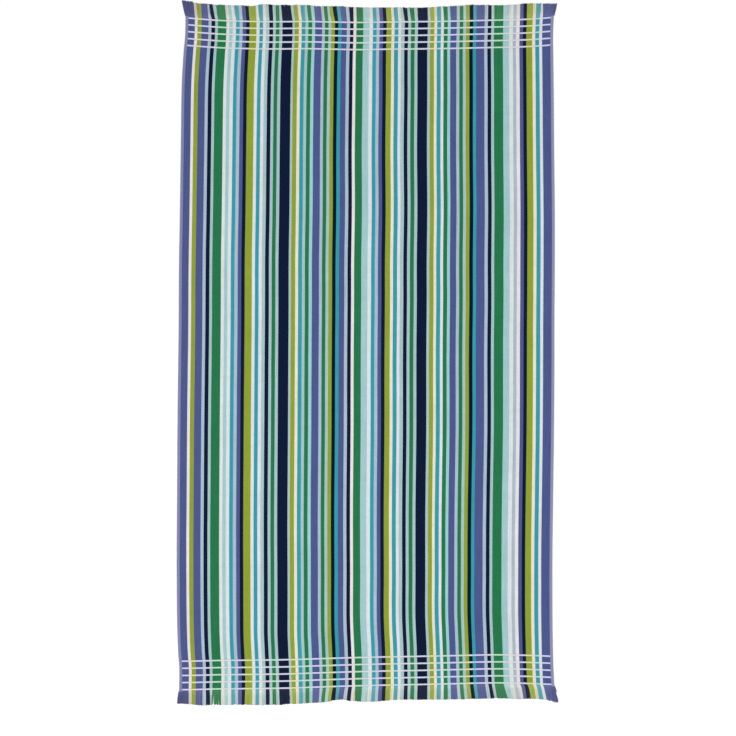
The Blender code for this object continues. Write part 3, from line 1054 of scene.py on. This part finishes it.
def make_cloth():
    """The cloth: one closed sheet of rings, each running over its top, round its edges and under it."""
    places, plan, faces, slots = [], [], [], []
    stations, columns = cloth_rows(), cloth_columns()
    count = len(columns)
    size = 2 * count
    for station in stations:
        top, under = [], []
        for plan_place in columns:
            across, along = lay(plan_place, station)
            top.append((across, along, top_height(plan_place, station, across, along)))
            waves = unevenness(across, along) * UNDERSIDE_WAVES
            under.append((across, along, lift(across, along) + waves))
        places += top + under[::-1]
        plan += [(plan_place, station) for plan_place in columns + columns[::-1]]
    for row in range(len(stations) - 1):
        base = row * size
        middle = 0.5 * (stations[row] + stations[row + 1])
        flat_row = height_along(middle) <= GROOVE_TOP + ROUNDING
        for step in range(size):
            following = (step + 1) % size
            faces.append((base + step, base + following, base + size + following, base + size + step))
            column = step if step < count else size - 1 - step
            place = 0.5 * (columns[min(column, count - 2)] + columns[min(column + 1, count - 1)])
            is_rim = step in (count - 1, size - 1)
            if is_rim or place < LEFT_HEM or place > PLAN_WIDTH - RIGHT_HEM:
                slots.append(HEM_WEAVE)
            elif step >= count:
                slots.append(TERRY)
            else:
                slots.append(FLAT_WEAVE if flat_row else VELOUR)
    last = (len(stations) - 1) * size
    for step in range(count - 1):
        partner = size - 1 - step
        faces.append((partner, partner - 1, step + 1, step))
        faces.append((last + step, last + step + 1, last + partner - 1, last + partner))
        slots += [FLAT_WEAVE, FLAT_WEAVE]
    mesh = bpy.data.meshes.new("velour_cloth")
    mesh.from_pydata(places, [], faces)
    mesh.polygons.foreach_set("material_index", slots)
    uv = mesh.uv_layers.new(name=UV_NAME)
    corners = np.zeros(len(mesh.loops), np.int32)
    mesh.loops.foreach_get("vertex_index", corners)
    uv.data.foreach_set("uv", np.array(plan, np.float32)[corners].ravel())
    for key in CLOTH_FINISHES:
        mesh.materials.append(finishes()[key])
    mesh.shade_smooth()
    mesh.validate()
    return new_object("velour_cloth", mesh)


# ---------------------------------------------------------------------------------------------
# Pieces that Geometry Nodes grow from lines


def line_mesh(name, lines, fields=()):
    """Open lines of points as a mesh. A point is its place, then a value for each field."""
    places, edges, extras = [], [], []
    for line in lines:
        first = len(places)
        edges += [(first + step, first + step + 1) for step in range(len(line) - 1)]
        for point in line:
            places.append(point[:3])
            extras.append(point[3:])
    mesh = bpy.data.meshes.new(name)
    mesh.from_pydata(places, edges, [])
    for index, field in enumerate(fields):
        attribute = mesh.attributes.new(field, "FLOAT", "POINT")
        attribute.data.foreach_set("value", [extra[index] for extra in extras])
    return mesh


def grow(name, mesh, tree, values):
    """Run a Geometry Nodes tree on a mesh of lines and keep the outcome as a plain mesh."""
    item = new_object(name, mesh)
    modifier = item.modifiers.new(name, "NODES")
    modifier.node_group = tree
    for socket in tree.interface.items_tree:
        if socket.item_type == "SOCKET" and socket.in_out == "INPUT" and socket.name in values:
            modifier[socket.identifier] = values[socket.name]
    item.update_tag()
    graph = bpy.context.evaluated_depsgraph_get()
    plain = bpy.data.meshes.new_from_object(item.evaluated_get(graph))
    item.modifiers.clear()
    item.data = plain
    plain.name = name
    if not plain.polygons:
        raise RuntimeError(f"{name} came out empty")
    return item


WEFT_RADIUS = 0.40 * MM
WEFT_PITCH = 0.65 * MM
WEFT_STEP = 5.0 * MM
WEFT_SIDES = 6
WEFT_RISE = 0.75  # share of its radius by which a weft yarn's middle lies over its groove
LINE_END_GAP = 0.2 * MM  # from a hem to the end of a cross line


def weft_tree():
    """Weft yarns side by side along each line, each a little off its neighbour's height."""
    inputs = {
        "Yarns": ("Int", WEFTS_PER_LINE),
        "Pitch": ("Float", WEFT_PITCH),
        "Radius": ("Float", WEFT_RADIUS),
        "Finish": ("Material", None),
    }
    wires = new_geometry_tree("cross_line_wefts", inputs)
    sockets = {"Geometry": wires.given_lines(), "Amount": wires.take("Yarns")}
    copies = wires.add("GeometryNodeDuplicateElements", sockets, domain="SPLINE")
    number = copies.outputs["Duplicate Index"]
    half = wires.times(wires.minus(wires.take("Yarns"), 1.0), 0.5)
    aside = wires.times(wires.minus(number, half), wires.take("Pitch"))
    where = wires.out("GeometryNodeInputPosition")
    place = wires.vector("ADD", where, wires.point(0, 0, number))
    waves = wires.swing(wires.noise(place, 90.0), 0.35 * MM)
    bob = wires.swing(wires.noise(place, 210.0), 0.16 * MM)
    offset = wires.point(0.0, wires.plus(aside, waves), bob)
    laid = wires.store(wires.move(copies.outputs["Geometry"], offset), "aside", aside)
    tubes = wires.tube(laid, wires.circle(WEFT_SIDES, wires.take("Radius")))
    along = wires.plus(wires.named("along"), wires.named("aside"))
    return end_geometry_tree(wires, wires.plan_map(tubes, wires.named("across"), along))


def make_cross_lines(end, tree, sizes):
    """The five white lines by one end: weft yarns that lie in the cloth's grooves."""
    start, stop = LEFT_HEM + LINE_END_GAP, PLAN_WIDTH - RIGHT_HEM - LINE_END_GAP
    plan_places = evenly(start, stop, round((stop - start) / WEFT_STEP))
    lines = []
    for middle in line_middles(end):
        station = end.cloth_end - end.facing * middle
        line = []
        for plan_place in plan_places:
            across, along = lay(plan_place, station)
            groove = lift(across, along) + unevenness(across, along) + GROOVE_TOP
            line.append((across, along, groove + WEFT_RADIUS * WEFT_RISE, plan_place, station))
        lines.append(line)
    mesh = line_mesh("cross_lines", lines, ("across", "along"))
    values = {
        "Yarns": sizes.wefts_per_line,
        "Pitch": WEFT_PITCH,
        "Radius": WEFT_RADIUS,
        "Finish": finishes()["line"],
    }
    return grow(f"cross_lines_{end.name}", mesh, tree, values)


ROOT_INSET = 2.2 * MM  # the yarns come out from under the outermost cross line
ROOT_HEIGHT = 1.25 * MM
ROOT_MARGIN = 0.5 * MM  # from a side of the cloth to the first yarn
ROOT_STEPS = 1600  # of the line that the yarns are spaced along, and of a hem's own line
HEM_ROOT_STEPS = 40
YARN_SECTIONS = 9
YARN_SIDES = 4

# How much one fringe yarn differs from the next.
CLUMP_LEAN = 0.5 * MM
TRIM_WAVE = 1.6 * MM
LEAN_JITTER = 0.15 * MM
ROOT_JITTER = 0.12 * MM
YARN_WAVE = 0.17 * MM
WAVE_TURN = 5.0  # radians of the wave from root to tip
LAYER_HEIGHT = 0.95 * MM
SETTLED_AT = 0.45  # share of its length at which a yarn is down on the floor
TAPER_FROM = 0.9
TIP_THICKNESS = 0.75


def fringe_tree():
    """Cut yarns side by side, each with its own length, lean, wave and height in the layer."""
    inputs = {
        "Spacing": ("Float", YARN_SPACING),
        "Radius": ("Float", YARN_RADIUS),
        "Facing": ("Float", 1.0),
        "Length Spread": ("Float", LENGTH_SPREAD),
        "Seed": ("Int", 1),
        "Finish": ("Material", None),
    }
    wires = new_geometry_tree("fringe_yarns", inputs)

    def differing(low, high, number):
        """A random number for each yarn, from the seed and the number of its use."""
        return wires.random(low, high, wires.plus(wires.take("Seed"), 10.0 * number))

    roots = wires.resample(wires.given_lines(), wires.take("Spacing"))
    where = wires.out("GeometryNodeInputPosition")
    clump = wires.swing(wires.noise(where, 130.0), 1.0)
    trim = wires.swing(wires.noise(where, 60.0, detail=3.0), 1.0)
    uneven = wires.times(differing(-1.0, 1.0, 1), wires.take("Length Spread"))
    length = wires.plus(wires.plus(wires.named("reach"), uneven), wires.times(trim, TRIM_WAVE))
    roots = wires.store(roots, "length", length)
    lean = wires.plus(wires.named("lean"), wires.times(clump, CLUMP_LEAN))
    lean = wires.plus(lean, differing(-LEAN_JITTER, LEAN_JITTER, 2))
    roots = wires.store(roots, "tip_lean", lean)
    roots = wires.store(roots, "phase", differing(0.0, FULL_TURN, 3))
    roots = wires.store(roots, "level", differing(0.0, 1.0, 4))
    roots = wires.store(roots, "tone", differing(-1.0, 1.0, 5))
    roots = wires.move(roots, wires.point(differing(-ROOT_JITTER, ROOT_JITTER, 6)))

    stretch = wires.times(wires.named("length"), wires.take("Facing"))
    strand = wires.strand((0, 0, 0), (0, 1, 0), YARN_SECTIONS)
    sockets = {"Points": roots, "Instance": strand, "Scale": wires.point(1.0, stretch, 1.0)}
    yarns = wires.out("GeometryNodeInstanceOnPoints", sockets)
    yarns = wires.out("GeometryNodeRealizeInstances", {"Geometry": yarns})
    share = wires.along_spline()
    leaning = wires.times(wires.named("tip_lean"), wires.maths("POWER", share, wires.named("bend")))
    turn = wires.plus(wires.named("phase"), wires.times(share, WAVE_TURN))
    wave = wires.times(wires.maths("SINE", turn), wires.times(share, YARN_WAVE))
    layer = wires.times(wires.named("level"), LAYER_HEIGHT)
    drop = wires.minus(wires.plus(wires.take("Radius"), layer), ROOT_HEIGHT)
    settle = wires.ramp(share, 0.0, SETTLED_AT, 0.0, 1.0, curve="SMOOTHSTEP")
    yarns = wires.move(yarns, wires.point(wires.plus(leaning, wave), 0.0, wires.times(drop, settle)))
    thick = wires.times(wires.take("Radius"), wires.ramp(share, TAPER_FROM, 1.0, 1.0, TIP_THICKNESS))
    yarns = wires.out("GeometryNodeSetCurveRadius", {"Curve": yarns, "Radius": thick})
    yarns = wires.store(yarns, "run", wires.along_spline("Length"))

    profile = wires.store(wires.circle(YARN_SIDES, 1.0), "around", wires.along_spline())
    tubes = wires.tube(yarns, profile, scale=wires.out("GeometryNodeInputRadius"))
    twist = wires.plus(wires.maths("DIVIDE", wires.named("run"), TWIST_PITCH), wires.named("around"))
    tubes = wires.store(tubes, "twist", twist)
    past = wires.times(wires.named("run"), wires.take("Facing"))
    along = wires.plus(wires.named("along"), past)
    return end_geometry_tree(wires, wires.plan_map(tubes, wires.named("across"), along))


def make_fringe(end, tree, sizes):
    """One end's fringe: cut warp yarns that lie out from under its outermost cross line."""
    station = end.cloth_end - end.facing * ROOT_INSET
    first, last = ROOT_MARGIN, PLAN_WIDTH - ROOT_MARGIN
    runs = (  # the hems are folded double, so they have twice the yarns
        (first, last, ROOT_STEPS),
        (first, LEFT_HEM, HEM_ROOT_STEPS),
        (PLAN_WIDTH - RIGHT_HEM, last, HEM_ROOT_STEPS),
    )
    roots = []
    for run in runs:
        root = []
        for plan_place in evenly(*run):
            across, along = lay(plan_place, station)
            place = (across, along, lift(across, along) + ROOT_HEIGHT)
            lean = read_curve(end.lies, "lean", across)
            reach = read_curve(end.lies, "reach", across) + ROOT_INSET
            bend = read_curve(end.lies, "bend", across) / MM
            root.append((*place, plan_place, station, lean, reach, bend))
        roots.append(root)
    mesh = line_mesh("fringe_roots", roots, ("across", "along", "lean", "reach", "bend"))
    values = {
        "Spacing": sizes.yarn_spacing,
        "Radius": sizes.yarn_radius,
        "Facing": float(end.facing),
        "Length Spread": sizes.length_spread,
        "Seed": end.seed,
        "Finish": finishes()["fringe"],
    }
    return grow(f"fringe_yarns_{end.name}", mesh, tree, values)


STITCH_RADIUS = 0.16 * MM
STITCH_SIDES = 5
STITCH_POINTS = 5
STITCH_HALF = 0.42  # half a stitch's length, as a share of the pitch
STITCH_ARCH = 0.35 * MM
STITCH_SINK = 0.6  # share of the arch that lies in the cloth
STITCH_HEIGHT = 0.1 * MM
STITCH_END_GAP = 3.0 * MM
SEAM_STEP = 8.0 * MM


def stitch_tree():
    """Lockstitches along a line: short arched threads, end to end."""
    inputs = {
        "Pitch": ("Float", STITCH_PITCH),
        "Radius": ("Float", STITCH_RADIUS),
        "Finish": ("Material", None),
    }
    wires = new_geometry_tree("hem_stitches", inputs)
    sockets = {"Curve": wires.given_lines(), "Length": wires.take("Pitch")}
    points = wires.add("GeometryNodeCurveToPoints", sockets, mode="LENGTH").outputs
    reach = wires.times(wires.take("Pitch"), STITCH_HALF)
    start, stop = wires.point(z=wires.times(reach, -1.0)), wires.point(z=reach)
    strand = wires.strand(start, stop, STITCH_POINTS)
    arch = wires.sine(wires.along_spline(), math.pi)
    arch = wires.times(wires.minus(arch, STITCH_SINK), STITCH_ARCH)
    strand = wires.move(strand, wires.point(arch))
    stitch = wires.tube(strand, wires.circle(STITCH_SIDES, wires.take("Radius")))
    sockets = {"Points": points["Points"], "Instance": stitch, "Rotation": points["Rotation"]}
    return end_geometry_tree(wires, wires.out("GeometryNodeInstanceOnPoints", sockets))


def make_hem_stitches(sizes):
    """A row of stitches down each hem, in the groove that it pulls in."""
    start, stop = FOOT.cloth_end + STITCH_END_GAP, HEAD.cloth_end - STITCH_END_GAP
    lines = []
    for plan_place in (LEFT_HEM - SEAM_INSET, PLAN_WIDTH - RIGHT_HEM + SEAM_INSET):
        line = []
        for station in evenly(start, stop, round((stop - start) / SEAM_STEP)):
            across, along = lay(plan_place, station)
            height = top_height(plan_place, station, across, along) + STITCH_HEIGHT
            line.append((across, along, height))
        lines.append(line)
    mesh = line_mesh("hem_lines", lines)
    values = {"Pitch": sizes.stitch_pitch, "Radius": STITCH_RADIUS, "Finish": finishes()["stitch"]}
    return grow("hem_stitches", mesh, stitch_tree(), values)


# Single yarns that have worked loose and lie over the fringes, as places across and along in
# millimetres.
LOOSE_THREADS = {
    "pale_thread": ((-202, -879), (-197, -889), (-200, -897), (-198, -905)),
    "olive_thread": ((-34.5, -871), (-34, -884), (-36, -898)),
    "navy_thread": ((-405.6, 896), (-408.6, 887), (-408.4, 881), (-405.6, 876), (-403, 868)),
    "grey_thread": ((478.5, -861), (481.5, -868), (477, -875), (480.5, -881)),
}
THREAD_RADIUS = 0.36 * MM
THREAD_SIDES = 6
THREAD_STEP = 1.2 * MM
THREAD_HEIGHT = 2.7 * MM  # over the cloth's end
THREAD_DROP = 0.75 * MM  # how much lower than that it lies over the fringe
THREAD_DROP_WIDTH = 6 * MM


def thread_tree():
    """Single yarns on smooth lines."""
    inputs = {"Radius": ("Float", THREAD_RADIUS), "Finish": ("Material", None)}
    wires = new_geometry_tree("loose_threads", inputs)
    sockets = {"Curve": wires.given_lines()}
    smooth = wires.out("GeometryNodeCurveSplineType", sockets, spline_type="CATMULL_ROM")
    fine = wires.resample(smooth, THREAD_STEP)
    tubes = wires.tube(fine, wires.circle(THREAD_SIDES, wires.take("Radius")))
    return end_geometry_tree(wires, tubes)


def make_loose_thread(finish, places, tree):
    """One loose yarn, on top of the fringe yarns that it lies over."""
    line = []
    for across, along in places:
        across, along = across * MM, along * MM
        end = HEAD if along > 0 else FOOT
        past = max(end.facing * along - abs(end.cloth_end), 0.0)
        height = THREAD_HEIGHT - THREAD_DROP * ease(past / THREAD_DROP_WIDTH)
        line.append((across, along, lift(across, along) + height))
    values = {"Radius": THREAD_RADIUS, "Finish": finishes()[finish]}
    return grow(f"loose_{finish}s", line_mesh(finish, [line]), tree, values)


# ---------------------------------------------------------------------------------------------
# Camera, floor and light

PHOTO_FIELD = 1.899  # metres across the photo's frame
PHOTO_CENTRE = (0.0013, -0.0393)
LENS = 85.0
SENSOR = 36.0
FLOOR_DROP = 0.1 * MM
FLOOR_HALF = 14.0
SKY_STRENGTH = 0.66
LIGHT_AIM = (0.0, -0.05, 0.0)

Softbox = namedtuple("Softbox", "name place size power")
SOFTBOXES = (
    Softbox("softbox_over", (0.0, 0.05, 4.2), 2.6, 70.0),
    Softbox("softbox_side", (-0.9, -2.2, 2.9), 1.8, 20.0),
)


def make_camera(scene):
    camera = bpy.data.cameras.new("photo_camera")
    camera.lens = LENS
    camera.sensor_width = SENSOR
    camera_object = bpy.data.objects.new("photo_camera", camera)
    camera_object.location = (*PHOTO_CENTRE, PHOTO_FIELD * LENS / SENSOR)
    scene.collection.objects.link(camera_object)
    scene.camera = camera_object


def make_softbox(scene, box):
    light = bpy.data.lights.new(box.name, "AREA")
    light.shape = "SQUARE"
    light.size = box.size
    light.energy = box.power
    light_object = bpy.data.objects.new(box.name, light)
    light_object.location = box.place
    aim = Vector(LIGHT_AIM) - Vector(box.place)
    light_object.rotation_euler = aim.to_track_quat("-Z", "Y").to_euler()
    light_object.visible_camera = False
    scene.collection.objects.link(light_object)


def make_stage():
    """Straight-down camera, plain white floor and soft light from all round and above."""
    scene = bpy.context.scene
    scene.view_settings.view_transform = "Standard"
    scene.view_settings.look = "None"
    scene.view_settings.exposure = 0.0
    scene.view_settings.gamma = 1.0
    make_camera(scene)

    mesh = bpy.data.meshes.new("floor")
    corners = [(-1, -1), (1, -1), (1, 1), (-1, 1)]
    places = [(x * FLOOR_HALF, y * FLOOR_HALF, -FLOOR_DROP) for x, y in corners]
    mesh.from_pydata(places, [], [(0, 1, 2, 3)])
    mesh.materials.append(floor_finish())
    floor = new_object("floor", mesh)

    world = bpy.data.worlds.new("studio")
    world.use_nodes = True
    sky = world.node_tree.nodes["Background"]
    sky.inputs["Color"].default_value = (1.0, 1.0, 1.0, 1.0)
    sky.inputs["Strength"].default_value = SKY_STRENGTH
    scene.world = world
    for box in SOFTBOXES:
        make_softbox(scene, box)


# ---------------------------------------------------------------------------------------------
# Operators, panel and registration


class TOWEL_OT_stage(bpy.types.Operator):
    """Make the camera, the floor and the light"""

    bl_idname = "towel.stage"
    bl_label = "Stage"

    def execute(self, context):
        make_stage()
        return {"FINISHED"}


class TOWEL_OT_cloth(bpy.types.Operator):
    """Make the velour cloth in place of its plain solid"""

    bl_idname = "towel.cloth"
    bl_label = "Cloth"

    def execute(self, context):
        cloth = make_cloth()
        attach(cloth, "root")
        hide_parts("towel_cloth")
        return {"FINISHED"}


class TOWEL_OT_cross_lines(bpy.types.Operator):
    """Make the white weft yarns of the cross lines"""

    bl_idname = "towel.cross_lines"
    bl_label = "Cross lines"

    def execute(self, context):
        tree = weft_tree()
        for end in ENDS:
            lines = make_cross_lines(end, tree, context.scene.towel_sizes)
            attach(lines, "root")
        return {"FINISHED"}


class TOWEL_OT_fringes(bpy.types.Operator):
    """Make the yarns of both fringes in place of their plain solids"""

    bl_idname = "towel.fringes"
    bl_label = "Fringes"

    def execute(self, context):
        tree = fringe_tree()
        for end in ENDS:
            fringe = make_fringe(end, tree, context.scene.towel_sizes)
            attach(fringe, "root")
            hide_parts(end.node)
        return {"FINISHED"}


class TOWEL_OT_hem_stitches(bpy.types.Operator):
    """Make the stitches of both side hems"""

    bl_idname = "towel.hem_stitches"
    bl_label = "Hem stitches"

    def execute(self, context):
        stitches = make_hem_stitches(context.scene.towel_sizes)
        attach(stitches, "root")
        return {"FINISHED"}


class TOWEL_OT_loose_threads(bpy.types.Operator):
    """Make the few loose yarns that lie over the fringes"""

    bl_idname = "towel.loose_threads"
    bl_label = "Loose threads"

    def execute(self, context):
        tree = thread_tree()
        for finish, places in LOOSE_THREADS.items():
            threads = make_loose_thread(finish, places, tree)
            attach(threads, "root")
        return {"FINISHED"}


class TOWEL_OT_declare(bpy.types.Operator):
    bl_idname = "towel.declare"
    bl_label = "Declare the sheet"

    def execute(self, context):
        return {"FINISHED"}


class TOWEL_PT_panel(bpy.types.Panel):
    """Sizes and colours of the towel, and its pieces"""

    bl_label = "Beach towel"
    bl_idname = "TOWEL_PT_panel"
    bl_space_type = "VIEW_3D"
    bl_region_type = "UI"
    bl_category = "Towel"

    def draw(self, context):
        layout = self.layout
        for group in (context.scene.towel_sizes, context.scene.towel_colours):
            for name in group.__annotations__:
                layout.prop(group, name)
        for operator in OPERATORS:
            layout.operator(operator.bl_idname)


OPERATORS = (
    TOWEL_OT_stage,
    TOWEL_OT_cloth,
    TOWEL_OT_cross_lines,
    TOWEL_OT_fringes,
    TOWEL_OT_hem_stitches,
    TOWEL_OT_loose_threads,
    TOWEL_OT_declare,
)
CLASSES = (TowelColours, TowelSizes, *OPERATORS, TOWEL_PT_panel)


def register():
    for item in CLASSES:
        bpy.utils.register_class(item)
    bpy.types.Scene.towel_colours = PointerProperty(type=TowelColours)
    bpy.types.Scene.towel_sizes = PointerProperty(type=TowelSizes)


def unregister():
    del bpy.types.Scene.towel_sizes
    del bpy.types.Scene.towel_colours
    for item in reversed(CLASSES):
        bpy.utils.unregister_class(item)


def main():
    """Register the add-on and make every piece."""
    register()
    bpy.ops.towel.stage()
    bpy.ops.towel.cloth()
    bpy.ops.towel.cross_lines()
    bpy.ops.towel.fringes()
    bpy.ops.towel.hem_stitches()
    bpy.ops.towel.loose_threads()
    bpy.ops.towel.declare()


if __name__ == "__main__":
    main()
